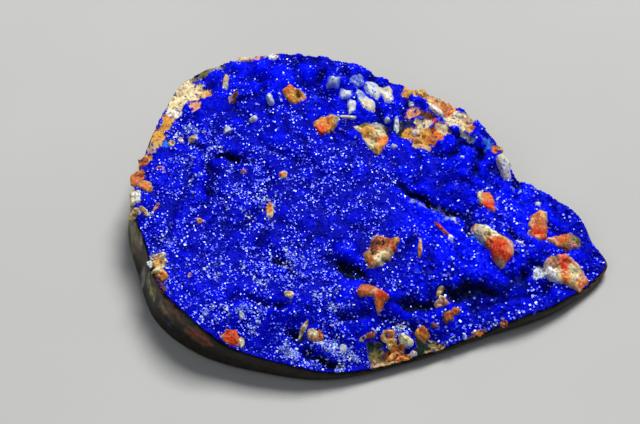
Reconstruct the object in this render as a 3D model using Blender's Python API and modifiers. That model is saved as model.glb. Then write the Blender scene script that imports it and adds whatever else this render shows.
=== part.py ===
"""A pear-shaped slab of azurite druse on its host rock, ground to shape round its edge.

The slab is one natural piece: host rock, the azurite crust that grew on it and the grains of rock
caught in the crust. Its base is cut flat, its wall is ground and polished, and its top is left
rough. Units are metres, +Z is up, and +X runs along the slab to its pointed end. The origin lies
under the middle of the slab's box, on the plane that the base rests on.
"""
import math

import bmesh
import bpy
from mathutils import Matrix, Vector, noise

MM = 0.001

# Driving dimensions of the ground blank
LENGTH = 38.0 * MM
BLANK_HEIGHT = 8.0 * MM  # taller than the stone: the rough top is cut out of it
MEAN_RADIUS = 14.0 * MM
BASE_EDGE = 0.35 * MM
EDGE_STEPS = 2
STEPS_PER_SPAN = 6

# The outline at the base, in millimetres, anticlockwise from the pointed end
OUTLINE_MM = (
    (19.0, 1.6),
    (17.5, 3.6),
    (15.6, 5.6),
    (10.3, 7.3),
    (8.3, 9.4),
    (5.2, 11.5),
    (-1.2, 12.6),
    (-5.3, 13.5),
    (-9.8, 13.3),
    (-14.0, 11.4),
    (-17.5, 8.6),
    (-18.7, 4.0),
    (-19.0, -0.9),
    (-18.7, -4.1),
    (-17.0, -7.5),
    (-14.5, -11.2),
    (-10.3, -13.2),
    (-5.0, -13.5),
    (0.0, -12.8),
    (5.2, -10.2),
    (11.0, -6.3),
    (15.9, -2.8),
)

# How far the ground wall leans in from upright: (direction in degrees from +X, degrees of lean)
WALL_LEANS = (
    (0, 4),
    (185, 4),
    (203, 8),
    (222, 8),
    (235, 6),
    (250, 4),
)

# How high the rough top stands above the base: (direction in degrees from +X, millimetres) at the
# wall, and the middle's height with its fall towards the point
RIM_HEIGHTS_MM = (
    (0, 1.2),
    (8, 1.4),
    (20, 2.3),
    (50, 3.5),
    (90, 4.3),
    (135, 4.4),
    (180, 4.8),
    (225, 4.8),
    (233, 4.1),
    (241, 3.1),
    (255, 2.5),
    (278, 1.3),
    (310, 1.0),
    (332, 1.3),
    (345, 2.0),
    (353, 1.7),
)
MIDDLE_HEIGHT_MM = 4.4
FALL_PER_MM = 0.035
RIM_BAND_STARTS = 0.55  # share of the way from the middle to the wall

# Lumps (height above zero) and hollows (below): x, y, half-length, half-width, turn in degrees,
# height, all in millimetres
LUMPS_MM = (
    (-11.5, 11.6, 1.1, 0.9, 0, 0.4),
    (-9.2, 12.6, 1.5, 0.9, 0, 0.2),
    (-4.6, 12.5, 1.8, 0.8, -8, 0.3),
    (-2.2, 11.6, 0.7, 1.2, 0, -0.6),
    (2.5, 11.2, 2.6, 1.0, -15, 0.4),
    (-13.0, 0.2, 2.0, 0.45, -67, -0.5),
    (-12.0, 2.2, 1.1, 0.4, 15, -0.5),
    (-1.15, -3.6, 0.9, 0.6, 0, 0.6),
    (-0.3, -5.1, 1.3, 0.7, -10, -0.8),
    (4.6, 2.3, 2.9, 0.6, -13, -0.7),
    (8.0, 0.9, 1.0, 0.5, -38, -0.5),
    (4.6, 1.4, 2.8, 0.6, -12, 0.45),
    (9.7, -3.7, 2.2, 1.0, 14, -0.8),
    (5.4, -6.1, 2.0, 0.6, 23, -0.6),
    (-2.6, -11.1, 0.6, 0.5, 0, -0.5),
    (12.9, 3.4, 1.7, 1.2, -30, 0.35),
    (16.0, 1.2, 1.6, 0.9, -15, 0.45),
    (1.6, -3.0, 1.2, 1.2, 0, 0.3),
    (2.0, -6.5, 1.3, 0.6, 0, 0.3),
)

# The grain of the rough top
RELIEF_CELL = 0.62 * MM
GRAIN_MM = 0.34
GRAIN_SIZE_MM = 2.6
GRAIN_OCTAVES = 4
LOWEST_TOP_MM = 0.6

# The stone's own look: deep azurite blue, a dull sheen of fine crystals
STONE_COLOUR = (0.01, 0.015, 0.55, 1.0)
STONE_ROUGHNESS = 0.55


def clear_scene():
    for old in list(bpy.data.objects):
        bpy.data.objects.remove(old, do_unlink=True)


def new_collection(name):
    group = bpy.data.collections.new(name)
    bpy.context.scene.collection.children.link(group)
    return group


def new_object(name, mesh, group):
    made = bpy.data.objects.new(name, mesh)
    group.objects.link(made)
    return made


def outline_curve():
    """The closed outline as a flat, filled curve, as thick as the blank."""
    curve = bpy.data.curves.new("blank_outline", "CURVE")
    curve.dimensions = "2D"
    curve.fill_mode = "BOTH"
    curve.extrude = BLANK_HEIGHT / 2
    curve.resolution_u = STEPS_PER_SPAN
    spline = curve.splines.new("BEZIER")
    spline.bezier_points.add(len(OUTLINE_MM) - 1)
    spline.use_cyclic_u = True
    for point, (x, y) in zip(spline.bezier_points, OUTLINE_MM):
        point.co = (x * MM, y * MM, 0.0)
        point.handle_left_type = "AUTO"
        point.handle_right_type = "AUTO"
    return curve


def round_table(table, direction):
    """Reads a table of (degrees, value) at a direction, in straight steps round the full circle."""
    closed = list(table) + [(table[0][0] + 360, table[0][1])]
    for (start, a), (end, b) in zip(closed, closed[1:]):
        if start <= direction <= end:
            return a + (b - a) * (direction - start) / (end - start)
    raise ValueError(direction)


def blank_mesh(group):
    """The blank as one closed mesh: caps welded, standing on z = 0, its box centred, its top drawn in."""
    curve_object = new_object("blank_outline", outline_curve(), group)
    bpy.context.view_layer.update()
    evaluated = curve_object.evaluated_get(bpy.context.evaluated_depsgraph_get())
    mesh = bpy.data.meshes.new_from_object(evaluated)
    bpy.data.objects.remove(curve_object, do_unlink=True)
    shape = bmesh.new()
    shape.from_mesh(mesh)
    bmesh.ops.remove_doubles(shape, verts=shape.verts, dist=0.01 * MM)
    flat = math.radians(0.5)
    bmesh.ops.dissolve_limit(shape, angle_limit=flat, verts=shape.verts, edges=shape.edges)
    xs = [v.co.x for v in shape.verts]
    ys = [v.co.y for v in shape.verts]
    size = LENGTH / (max(xs) - min(xs))
    middle = Vector(((max(xs) + min(xs)) / 2, (max(ys) + min(ys)) / 2, -BLANK_HEIGHT / 2))
    bmesh.ops.translate(shape, vec=-middle, verts=shape.verts)
    bmesh.ops.transform(shape, matrix=Matrix.Diagonal((size, size, 1, 1)), verts=shape.verts)
    for vertex in [v for v in shape.verts if v.co.z > BLANK_HEIGHT / 2]:
        direction = math.degrees(math.atan2(vertex.co.y, vertex.co.x)) % 360
        lean = math.radians(round_table(WALL_LEANS, direction))
        draw_in = 1 - math.tan(lean) * BLANK_HEIGHT / MEAN_RADIUS
        vertex.co.x *= draw_in
        vertex.co.y *= draw_in
    bmesh.ops.recalc_face_normals(shape, faces=shape.faces)
    shape.to_mesh(mesh)
    shape.free()
    return mesh


def wall_distance(direction):
    """Millimetres from the middle to the outline in a direction."""
    table = sorted((math.degrees(math.atan2(y, x)) % 360, math.hypot(x, y)) for x, y in OUTLINE_MM)
    wrapped = direction if direction >= table[0][0] else direction + 360
    return round_table(table, wrapped)


def lump(x, y, place):
    """One lump or hollow: a smooth bell, longer one way than the other."""
    at_x, at_y, half_length, half_width, turn, height = place
    along = math.cos(math.radians(turn))
    across = math.sin(math.radians(turn))
    u = ((x - at_x) * along + (y - at_y) * across) / half_length
    v = ((y - at_y) * along - (x - at_x) * across) / half_width
    return height * math.exp(-(u * u + v * v))


def top_height(x, y):
    """Height of the rough top in millimetres at a place in millimetres."""
    direction = math.degrees(math.atan2(y, x)) % 360
    share = math.hypot(x, y) / wall_distance(direction)
    band = min(max((share - RIM_BAND_STARTS) / (1 - RIM_BAND_STARTS), 0), 1)
    band = band * band * (3 - 2 * band)
    middle = MIDDLE_HEIGHT_MM - FALL_PER_MM * x
    height = middle + (round_table(RIM_HEIGHTS_MM, direction) - middle) * band
    height += sum(lump(x, y, place) for place in LUMPS_MM)
    place = Vector((x, y, 0)) / GRAIN_SIZE_MM
    height += GRAIN_MM * noise.fractal(place, 0.7, 2.1, GRAIN_OCTAVES)
    return max(height, LOWEST_TOP_MM)


def relief_cutter(mesh_of_blank, group):
    """What is above the rough top: a grid that follows it, pulled up past the blank."""
    room = 1.0 * MM
    reach_x = max(v.co.x for v in mesh_of_blank.vertices) + room
    reach_y = max(v.co.y for v in mesh_of_blank.vertices) + room
    shape = bmesh.new()
    steps_x = round(2 * reach_x / RELIEF_CELL)
    steps_y = round(2 * reach_y / RELIEF_CELL)
    bmesh.ops.create_grid(shape, x_segments=steps_x, y_segments=steps_y, size=1.0)
    bmesh.ops.transform(shape, matrix=Matrix.Diagonal((reach_x, reach_y, 1, 1)), verts=shape.verts)
    for vertex in shape.verts:
        vertex.co.z = top_height(vertex.co.x / MM, vertex.co.y / MM) * MM
    bmesh.ops.triangulate(shape, faces=shape.faces)
    pulled = bmesh.ops.extrude_face_region(shape, geom=shape.faces)
    for item in pulled["geom"]:
        if isinstance(item, bmesh.types.BMVert):
            item.co.z = BLANK_HEIGHT + room
    bmesh.ops.recalc_face_normals(shape, faces=shape.faces)
    mesh = bpy.data.meshes.new("relief_cutter")
    shape.to_mesh(mesh)
    shape.free()
    cutter = new_object("relief_cutter", mesh, group)
    cutter.hide_render = True
    cutter.display_type = "WIRE"
    return cutter


def stone_material():
    material = bpy.data.materials.new("azurite_blue")
    material.use_nodes = True
    shader = material.node_tree.nodes["Principled BSDF"]
    shader.inputs["Base Color"].default_value = STONE_COLOUR
    shader.inputs["Roughness"].default_value = STONE_ROUGHNESS
    shader.inputs["Metallic"].default_value = 0.0
    return material


def make_stone(parts, cutters):
    """The blank, its edges eased, less everything above the rough top."""
    mesh = blank_mesh(cutters)
    mesh.name = "azurite_stone"
    stone = new_object("azurite_stone", mesh, parts)
    stone.data.materials.append(stone_material())
    edge = stone.modifiers.new("eased_edge", "BEVEL")
    edge.width = BASE_EDGE
    edge.segments = EDGE_STEPS
    edge.limit_method = "ANGLE"
    edge.angle_limit = math.radians(60)
    cut = stone.modifiers.new("rough_top", "BOOLEAN")
    cut.operation = "DIFFERENCE"
    cut.solver = "EXACT"
    cut.object = relief_cutter(mesh, cutters)
    return stone


clear_scene()
make_stone(new_collection("azurite_specimen"), new_collection("cutters"))
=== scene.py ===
"""The looks of a pear-shaped slab of azurite druse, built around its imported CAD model.

Sizes in the sections are millimetres, turned into metres as each mesh is made. +X runs along the
slab to its pointed end, +Z is up, and the slab rests on z = 0.
"""
import math

import bpy
import numpy as np
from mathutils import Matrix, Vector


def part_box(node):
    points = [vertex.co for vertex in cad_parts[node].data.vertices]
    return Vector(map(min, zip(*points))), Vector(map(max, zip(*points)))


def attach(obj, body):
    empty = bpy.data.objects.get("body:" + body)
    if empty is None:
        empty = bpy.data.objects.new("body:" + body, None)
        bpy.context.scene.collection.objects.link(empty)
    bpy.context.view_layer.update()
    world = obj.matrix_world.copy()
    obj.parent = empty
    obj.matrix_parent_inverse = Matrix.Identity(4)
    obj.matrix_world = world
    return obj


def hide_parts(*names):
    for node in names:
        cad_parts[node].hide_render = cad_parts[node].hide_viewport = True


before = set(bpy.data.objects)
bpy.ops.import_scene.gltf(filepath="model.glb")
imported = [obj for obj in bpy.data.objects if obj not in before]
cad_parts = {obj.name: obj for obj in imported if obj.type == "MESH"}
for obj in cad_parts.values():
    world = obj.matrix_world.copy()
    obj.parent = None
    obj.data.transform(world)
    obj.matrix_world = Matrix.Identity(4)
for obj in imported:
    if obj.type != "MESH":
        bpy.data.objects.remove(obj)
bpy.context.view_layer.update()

# ----------------------------------------
# Camera. A long close-up lens looks down on the slab from 62 degrees above the table, standing
# 14 degrees round from square on, about 0.3 m away.
MM = 0.001
VIEW_TURN = math.radians(14.0)
VIEW_HEIGHT = math.radians(62.0)
VIEW_AIM_MM = (-3.88, -0.35, 4.0)
LENS_MM = 225.0
SENSOR_MM = 36.0
VIEW_DISTANCE_MM = 315.7

view_back = np.array((
    math.sin(VIEW_TURN) * math.cos(VIEW_HEIGHT),
    -math.cos(VIEW_TURN) * math.cos(VIEW_HEIGHT),
    math.sin(VIEW_HEIGHT),
))
lens = bpy.data.cameras.new("close_up")
lens.lens = LENS_MM
lens.sensor_width = SENSOR_MM
lens.clip_start = 0.01
camera = bpy.data.objects.new("close_up", lens)
camera.location = (np.array(VIEW_AIM_MM) + view_back * VIEW_DISTANCE_MM) * MM
camera.rotation_euler = (math.pi / 2 - VIEW_HEIGHT, 0.0, VIEW_TURN)
bpy.context.scene.collection.objects.link(camera)
bpy.context.scene.camera = camera


# ----------------------------------------
# Host rock. The slab itself: a piece of brown and olive copper-ore rock, sawn flat underneath and
# ground round its edge to a pear outline, its wall polished. Its top was never cut, and carries
# the crust.
STONE = "azurite_stone"
ROOT = "root"
OUTLINE = np.array((
    (19.0, 1.6), (17.5, 3.6), (15.6, 5.6), (10.3, 7.3), (8.3, 9.4), (5.2, 11.5), (-1.2, 12.6),
    (-5.3, 13.5), (-9.8, 13.3), (-14.0, 11.4), (-17.5, 8.6), (-18.7, 4.0), (-19.0, -0.9),
    (-18.7, -4.1), (-17.0, -7.5), (-14.5, -11.2), (-10.3, -13.2), (-5.0, -13.5), (0.0, -12.8),
    (5.2, -10.2), (11.0, -6.3), (15.9, -2.8),
))
# Height of the rough top at the wall: direction in degrees from +X, height
RIM_HEIGHTS = np.array((
    (0, 1.2), (8, 1.4), (20, 2.3), (50, 3.5), (90, 4.3), (135, 4.4), (180, 4.8), (225, 4.8),
    (233, 4.1), (241, 3.1), (255, 2.5), (278, 1.3), (310, 1.0), (332, 1.3), (345, 2.0),
    (353, 1.7),
))
MIDDLE_HEIGHT = 4.4
FALL_PER_MM = 0.035
RIM_BAND_STARTS = 0.55
LOWEST_TOP = 0.6
# How far the ground wall leans in from upright: direction, degrees of lean
WALL_LEANS = np.array(((0, 4), (185, 4), (203, 8), (222, 8), (235, 6), (250, 4)))
MEAN_RADIUS = 14.0
# Lumps and hollows of the rough top: x, y, half-length, half-width, turn in degrees, height
LUMPS = np.array((
    (-11.5, 11.6, 0.9, 0.8, 0, 0.4), (-9.2, 12.6, 1.5, 0.9, 0, -0.3), (-11.2, 10.7, 0.7, 0.9, 0, 0.5),
    (9.3, 7.9, 0.9, 0.8, 0, 0.6), (-4.6, 12.5, 1.8, 0.8, -8, 0.3), (-2.2, 11.6, 0.7, 1.2, 0, -0.5),
    (2.5, 11.2, 2.6, 1, -15, 0.4), (-13, 0.2, 2, 0.4, -67, -0.35), (-12, 2.2, 1.4, 0.3, 6, -0.7),
    (-14.9, 2.5, 0.8, 0.3, -10, -0.5), (-14, 0.6, 1.8, 0.4, -70, 0.3), (-1.15, -3.6, 0.9, 0.6, 0, 0.7),
    (-0.3, -5.1, 1.5, 0.5, -10, -0.9), (4.6, 2.45, 2.9, 0.45, -14, -1), (8, 0.9, 1, 0.45, -38, -0.7),
    (4.8, 1.4, 2.9, 0.6, -14, 0.5), (4.9, -0.6, 2.6, 1.5, -10, 0.45), (9.7, -3.8, 2.5, 1.1, 14, -0.6),
    (8, -4.4, 1, 0.5, 20, -0.35), (7.2, -2.6, 2, 0.5, -12, 0.3), (5.4, -6.1, 2, 0.45, 23, -0.7),
    (-3.3, -10.8, 0.7, 0.5, 20, -0.7), (-0.6, -11.35, 0.9, 0.45, 15, 0.5),
    (-0.2, -12, 1.2, 0.25, 15, -0.5), (-1.9, -11.9, 0.35, 0.5, 0, -0.5), (12.9, 3.4, 1.7, 1.2, -30, 0.35),
    (11.6, 1.6, 1.2, 0.35, -25, -0.6), (16, 1.2, 1.6, 0.9, -15, 0.45), (13.2, -1.4, 2, 0.6, 10, -0.5),
    (1.6, -3, 1.2, 1.2, 0, 0.3), (2, -6.5, 1.3, 0.6, 0, 0.3), (1.4, -8.4, 1.6, 0.5, 20, -0.5),
    (0, -7, 1.6, 1, 20, 0.3), (-9, 5, 3, 2.2, 20, 0.3), (-11.2, 10.1, 1.3, 0.35, 25, -0.6),
    (-14.8, 5.5, 1.6, 1, 60, 0.35), (-10.2, 7, 0.5, 0.5, 0, -0.4), (6, 6, 2.2, 1.3, -30, 0.35),
    (10.8, 6, 1.2, 0.4, -60, -0.4), (-6.2, -5.4, 1.6, 0.3, -35, -0.4), (-5.5, -9.3, 2.2, 0.3, 5, -0.4),
))


def ground_outline(points, steps=24):
    """The closed curve of the ground edge. Between two points it is the cubic whose slope at each
    end is half the step between that point's neighbours."""
    t = (np.arange(steps) / steps)[None, :, None]
    before, here, after, beyond = (np.roll(points, k, 0)[:, None, :] for k in (1, 0, -1, -2))
    bend = 2 * before - 5 * here + 4 * after - beyond
    twist = -before + 3 * here - 3 * after + beyond
    curve = here + 0.5 * ((after - before) * t + bend * t**2 + twist * t**3)
    return curve.reshape(-1, 2)


box_low, box_high = (np.array(corner[:2]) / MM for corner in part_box(STONE))
edge = ground_outline(OUTLINE)
edge = (edge - edge.min(0)) / np.ptp(edge, axis=0) * (box_high - box_low) + box_low
edge_direction = np.arctan2(edge[:, 1], edge[:, 0])
edge_radius = np.hypot(edge[:, 0], edge[:, 1])


def base_radius(direction):
    """Distance from the middle to the ground edge at the base, read from the outline by direction."""
    return np.interp(direction, edge_direction, edge_radius, period=2 * math.pi)


def by_direction(direction, table):
    """A value from a table by degrees, on straight lines between its rows and on round past 360."""
    return np.interp(np.degrees(direction), *table.T, period=360)


def drawn_in(direction, height):
    """Share of its distance from the middle that the leaning wall keeps at a height: one less the
    height times the tangent of the lean, over the slab's mean radius."""
    return 1 - np.tan(np.radians(by_direction(direction, WALL_LEANS))) * height / MEAN_RADIUS


def net_noise(x, y, size, seed):
    """Smooth noise from -1 to 1: random values on the corners of a square net of this size, blended
    between corners by 3t^2 - 2t^3 each way. The net is turned by its seed, so layers don't line up."""
    table = np.random.default_rng(seed).uniform(-1, 1, (256, 256))
    turn = 0.7 * seed
    u = (x * math.cos(turn) + y * math.sin(turn)) / size + 117.3
    v = (y * math.cos(turn) - x * math.sin(turn)) / size + 91.7
    i, j = np.floor(u).astype(int), np.floor(v).astype(int)
    s, t = u - i, v - j
    s, t = s * s * (3 - 2 * s), t * t * (3 - 2 * t)
    i, j, after_i, after_j = i % 256, j % 256, (i + 1) % 256, (j + 1) % 256
    near = table[i, j] * (1 - s) + table[after_i, j] * s
    far = table[i, after_j] * (1 - s) + table[after_i, after_j] * s
    return near * (1 - t) + far * t


def smooth_step(value, low, high):
    """0 below low, 1 above high, and 3t^2 - 2t^3 between them."""
    t = np.clip((value - low) / (high - low), 0, 1)
    return t * t * (3 - 2 * t)


def along_across(dx, dy, turn):
    """Steps from a place, measured along and across a line turned by so many degrees."""
    c, s = np.cos(np.radians(turn)), np.sin(np.radians(turn))
    return dx * c + dy * s, dy * c - dx * s


def layered(x, y, *layers):
    """Sum of layers of noise, each given by its weight, size and seed."""
    return sum(weight * net_noise(x, y, size, seed) for weight, size, seed in layers)


def bells(x, y, places):
    """Sum of bells, each height times exp of minus the squared distance in its own half-lengths. Places
    are shaken by noise first, so that no bell is a clean oval."""
    x, y = x + layered(x, y, (0.35, 1.0, 8)), y + layered(x, y, (0.35, 1.0, 9))
    at_x, at_y, half_length, half_width, turn, height = places.T
    along, across = along_across(x[..., None] - at_x, y[..., None] - at_y, turn)
    return (height * np.exp(-((along / half_length) ** 2 + (across / half_width) ** 2))).sum(-1)


def top_height(x, y):
    """Height of the rough top: a level that falls to the rim's height near the wall, plus lumps and
    hollows, plus four layers of noise, two of them folded at zero into rounded bumps. The noise is
    stronger at the back and to the right, and weaker at the rim."""
    direction = np.arctan2(y, x)
    share = np.hypot(x, y) / base_radius(direction)
    rim = by_direction(direction, RIM_HEIGHTS)
    middle = MIDDLE_HEIGHT - FALL_PER_MM * x
    height = middle + (rim - middle) * smooth_step(share, RIM_BAND_STARTS, 1.0)
    height = height + bells(x, y, LUMPS)
    rough = 0.55 + 0.95 * smooth_step(y, 4.0, 9.0) + 0.5 * smooth_step(x, 1.0, 7.0)
    rough = rough * (1 - 0.4 * smooth_step(share, 0.86, 1.0))
    grain = 0.25 * net_noise(x, y, 2.7, 1) + 0.60 * np.abs(net_noise(x, y, 1.8, 2)) - 0.22
    grain += 0.28 * np.abs(net_noise(x, y, 0.85, 3)) + 0.04 * net_noise(x, y, 0.4, 4) - 0.11
    return np.maximum(height + rough * grain, LOWEST_TOP)


def new_mesh_object(name, points, faces, material, smooth):
    """An object at the origin from points in millimetres and faces of three or four corners."""
    mesh = bpy.data.meshes.new(name)
    corners = np.concatenate([np.asarray(f).ravel() for f in faces])
    sizes = np.concatenate([np.full(len(f), f.shape[1]) for f in faces])
    mesh.vertices.add(len(points))
    mesh.vertices.foreach_set("co", (points * MM).astype(np.float32).ravel())
    mesh.loops.add(len(corners))
    mesh.loops.foreach_set("vertex_index", corners.astype(np.int32))
    mesh.polygons.add(len(sizes))
    mesh.polygons.foreach_set("loop_start", (np.cumsum(sizes) - sizes).astype(np.int32))
    mesh.polygons.foreach_set("use_smooth", np.full(len(sizes), smooth))
    mesh.update(calc_edges=True)
    mesh.validate()
    mesh.materials.append(material)
    made = bpy.data.objects.new(name, mesh)
    bpy.context.scene.collection.objects.link(made)
    return made


def point_values(made, name, values):
    """Stores one number for each vertex, under a name that a material can read."""
    layer = made.data.attributes.new(name, "FLOAT", "POINT")
    layer.data.foreach_set("value", np.asarray(values, np.float32).ravel())


def point_colours(made, name, colours):
    """Stores one colour for each vertex."""
    layer = made.data.attributes.new(name, "FLOAT_COLOR", "POINT")
    rgba = np.ones((len(colours), 4), np.float32)
    rgba[:, :3] = colours
    layer.data.foreach_set("color", rgba.ravel())


def lay_out(made, corner_places):
    """The piece's own UV map, one place for each face corner."""
    layer = made.data.uv_layers.new(name="OFBake")
    layer.uv.foreach_set("vector", np.asarray(corner_places, np.float32).ravel())


class Nodes:
    """Short names for the node-making that the materials share."""

    def __init__(self, name):
        self.material = bpy.data.materials.new(name)
        self.material.use_nodes = True
        self.tree = self.material.node_tree
        self.shader = self.tree.nodes["Principled BSDF"]

    def put(self, socket, value):
        """Links a node's output to the socket, or sets the socket's own value."""
        if isinstance(value, bpy.types.NodeSocket):
            self.tree.links.new(value, socket)
        else:
            socket.default_value = value

    def add(self, kind, output, values=(), **settings):
        """One node, with its settings and with values or links in its sockets. Returns one output."""
        node = self.tree.nodes.new(kind)
        for key, value in settings.items():
            setattr(node, key, value)
        for socket, value in dict(values).items():
            self.put(node.inputs[socket], value)
        return node.outputs[output]

    def noise(self, per_mm, detail=3.0):
        """Noise fixed to the piece, with so many lumps a millimetre."""
        place = self.add("ShaderNodeTexCoord", "Object")
        return self.add("ShaderNodeTexNoise", "Fac", {
            "Vector": place, "Scale": per_mm / MM, "Detail": detail, "Roughness": 0.6})

    def read(self, name, output="Fac"):
        """A number or colour stored on the mesh."""
        return self.add("ShaderNodeAttribute", output, attribute_name=name)

    def ramp(self, factor, *stops):
        """A colour for the factor, blended between stops, each a place and a colour."""
        colour = self.add("ShaderNodeValToRGB", "Color", {"Fac": factor})
        stripes = colour.node.color_ramp.elements
        while len(stripes) < len(stops):
            stripes.new(1.0)
        for stripe, (at, shade) in zip(stripes, stops):
            stripe.position = at
            stripe.color = (*shade, 1.0)
        return colour

    def mix(self, factor, first, second, blend="MIX"):
        """One colour laid over another as far as the factor says."""
        sockets = {0: factor, 6: first, 7: second}
        return self.add("ShaderNodeMix", 2, sockets, data_type="RGBA", blend_type=blend)

    def sum(self, first, second, by=1.0):
        """first + by * second."""
        return self.add("ShaderNodeMath", 0, {0: second, 1: by, 2: first}, operation="MULTIPLY_ADD")

    def clouded(self, name, per_mm, detail, *stops):
        """A colour stored on the mesh, multiplied by a tint that follows noise."""
        tint = self.ramp(self.noise(per_mm, detail), *stops)
        return self.mix(1.0, self.read(name, "Color"), tint, "MULTIPLY")

    def specks(self, colour, mask, low, high, strength, speck):
        """Lays the speck's colour over another, from nothing where the mask is at low to its full
        strength where the mask is at high."""
        laid = self.ramp(mask, (low, (0, 0, 0)), (high, (1, 1, 1)))
        return self.mix(self.sum(0.0, laid, strength), colour, (*speck, 1))

    def bump(self, per_mm, detail, depth_mm, strength):
        """Grain too fine to build, of this depth."""
        self.put(self.shader.inputs["Normal"], self.add("ShaderNodeBump", "Normal", {
            "Height": self.noise(per_mm, detail), "Distance": depth_mm * MM, "Strength": strength}))

    def finish(self, colour, roughness, specular):
        """Sets what the shader needs, and returns the material."""
        surface = {"Base Color": colour, "Roughness": roughness, "Specular IOR Level": specular}
        for socket, value in surface.items():
            self.put(self.shader.inputs[socket], value)
        return self.material


# Patches of colour on the wall: direction in degrees, share of the height, half-widths of both,
# colour
DARK_OLIVE = (0.02, 0.017, 0.008)
WALL_PATCHES = (
    (188, 0.75, 3.5, 0.4, (0.61, 0.49, 0.29)), (197.5, 0.6, 3.2, 0.35, (0.27, 0.24, 0.09)),
    (201.5, 0.85, 1.0, 0.16, (0.42, 0.32, 0.24)), (200.5, 0.4, 1.8, 0.28, (0.1, 0.05, 0.02)),
    (202.5, 0.25, 1.2, 0.25, (0.006, 0.004, 0.004)), (206.0, 0.32, 1.5, 0.18, (0.36, 0.36, 0.35)),
    (207.5, 0.55, 1.4, 0.16, (0.28, 0.28, 0.26)), (213.0, 0.65, 1.8, 0.2, (0.38, 0.34, 0.11)),
    (213.6, 0.42, 0.6, 0.1, (0.04, 0.04, 0.36)), (217.5, 0.92, 3.0, 0.14, (0.09, 0.05, 0.04)),
    (221.0, 0.66, 1.6, 0.18, (0.29, 0.23, 0.15)), (223.5, 0.85, 2.2, 0.2, (0.18, 0.08, 0.05)),
    (228.5, 0.72, 3.2, 0.28, (0.15, 0.09, 0.05)), (231.8, 0.78, 2.0, 0.18, (0.28, 0.07, 0.03)),
    (229.8, 0.95, 1.5, 0.1, (0.05, 0.07, 0.03)), (220.8, 0.5, 1.4, 0.11, (0.006, 0.003, 0.003)),
    (223.4, 0.44, 1.8, 0.1, (0.006, 0.003, 0.003)), (220.3, 0.38, 0.7, 0.09, (0.04, 0.04, 0.32)),
    (228.8, 0.46, 1.1, 0.11, (0.006, 0.004, 0.004)),
)
# Round the back the patches are smaller and lie close together, in these colours
BACK_COLOURS = (
    (0.17, 0.09, 0.04), (0.08, 0.04, 0.02), (0.21, 0.17, 0.09), (0.1, 0.09, 0.04), (0.24, 0.18, 0.1),
    (0.05, 0.03, 0.02), (0.13, 0.1, 0.06), (0.03, 0.03, 0.14),
)
BACK_STEP = 4.5
WALL_COLUMNS = 900
BASE_ROUNDING = 0.8
WALL_BULGE = 0.12
WALL_WAVER = 0.05
CRUST_OVERLAP = 0.10  # how far the wall stops short of the crust's top
MIDDLE_OF_WALL = 3.0


def host_rock_mesh():
    """A closed skin in rings round the middle: the sawn base from its middle out, an eased edge, the
    leaning wall up to just under the crust, and the buried top back in to the middle."""
    direction = np.linspace(-math.pi, math.pi, WALL_COLUMNS, endpoint=False)
    radius = base_radius(direction)
    rim_radius = radius * drawn_in(direction, MIDDLE_OF_WALL)
    rim = top_height(rim_radius * np.cos(direction), rim_radius * np.sin(direction)) - CRUST_OVERLAP
    waver = WALL_WAVER * net_noise(direction * 12, direction * 0, 1.0, 21)
    rings = [(radius * share, 0 * radius) for share in (0.35, 0.7)]
    rings += [(radius - BASE_ROUNDING * (1 - math.sin(a)), BASE_ROUNDING * (1 - math.cos(a)) + 0 * radius)
              for a in np.linspace(0, math.pi / 2, 7)]
    for share in np.linspace(0.15, 1.0, 12):
        height = BASE_ROUNDING + (rim - BASE_ROUNDING) * share
        bulge = WALL_BULGE * math.sin(math.pi * share)
        rings.append((radius * drawn_in(direction, height) + bulge + waver * share, height))
    for share in np.linspace(0.97, 0.1, 14):
        inner = rim_radius * share
        depth = 0.35 + 1.0 * smooth_step(1 - share, 0.03, 0.12)
        height = top_height(inner * np.cos(direction), inner * np.sin(direction)) - depth
        rings.append((inner, np.minimum(height, rim + 5 * (1 - share))))
    r, z = np.array([a for a, b in rings]), np.array([b for a, b in rings])
    grid = np.stack((r * np.cos(direction), r * np.sin(direction), z), -1)
    points = np.concatenate((grid.reshape(-1, 3), [(0, 0, 0)], [(0, 0, grid[-1, :, 2].mean())]))
    index = np.arange(len(rings) * WALL_COLUMNS).reshape(len(rings), WALL_COLUMNS)
    after = np.roll(index, -1, 1)
    walls = np.stack((index[:-1], after[:-1], after[1:], index[1:]), -1).reshape(-1, 4)
    under, over = len(points) - 2, len(points) - 1
    base = np.stack((after[0], index[0], np.full(WALL_COLUMNS, under)), -1)
    lid = np.stack((index[-1], after[-1], np.full(WALL_COLUMNS, over)), -1)
    return points, (walls, base, lid), rim


def wall_colours(points, rim):
    """The wall's colour at each point: dark olive, with the patches laid over it in turn. A patch
    reaches as far as an ellipse of its half-widths, made ragged by noise."""
    direction = np.degrees(np.arctan2(points[:, 1], points[:, 0])) % 360
    column = np.round((direction + 180) / 360 * WALL_COLUMNS).astype(int) % WALL_COLUMNS
    share = points[:, 2] / rim[column]
    wander = 2.5 * net_noise(direction * 0.3, share * 2, 1.0, 31) + 5.0 * (share - 0.5)
    ragged = 0.8 * net_noise(direction * 0.9, share * 5, 1.0, 32)
    ragged += 0.5 * net_noise(direction * 2.5, share * 12, 1.0, 33)
    colours = np.tile(np.array(DARK_OLIVE), (len(points), 1))
    rng = np.random.default_rng(35)
    back = [(at + rng.uniform(-3, 3), rng.uniform(0.3, 0.9), rng.uniform(1.5, 5), rng.uniform(0.1, 0.45),
             BACK_COLOURS[rng.integers(len(BACK_COLOURS))]) for at in np.arange(5, 184, BACK_STEP)]
    for at, height, width, tall, colour in (*back, *WALL_PATCHES):
        away = (direction + wander - at + 180) % 360 - 180
        reach = (away / width) ** 2 + ((share - height) / tall) ** 2 + ragged
        weight = smooth_step(-reach, -1.4, -0.5)[:, None]
        colours = colours * (1 - weight) + np.array(colour) * weight
    return colours


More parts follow.
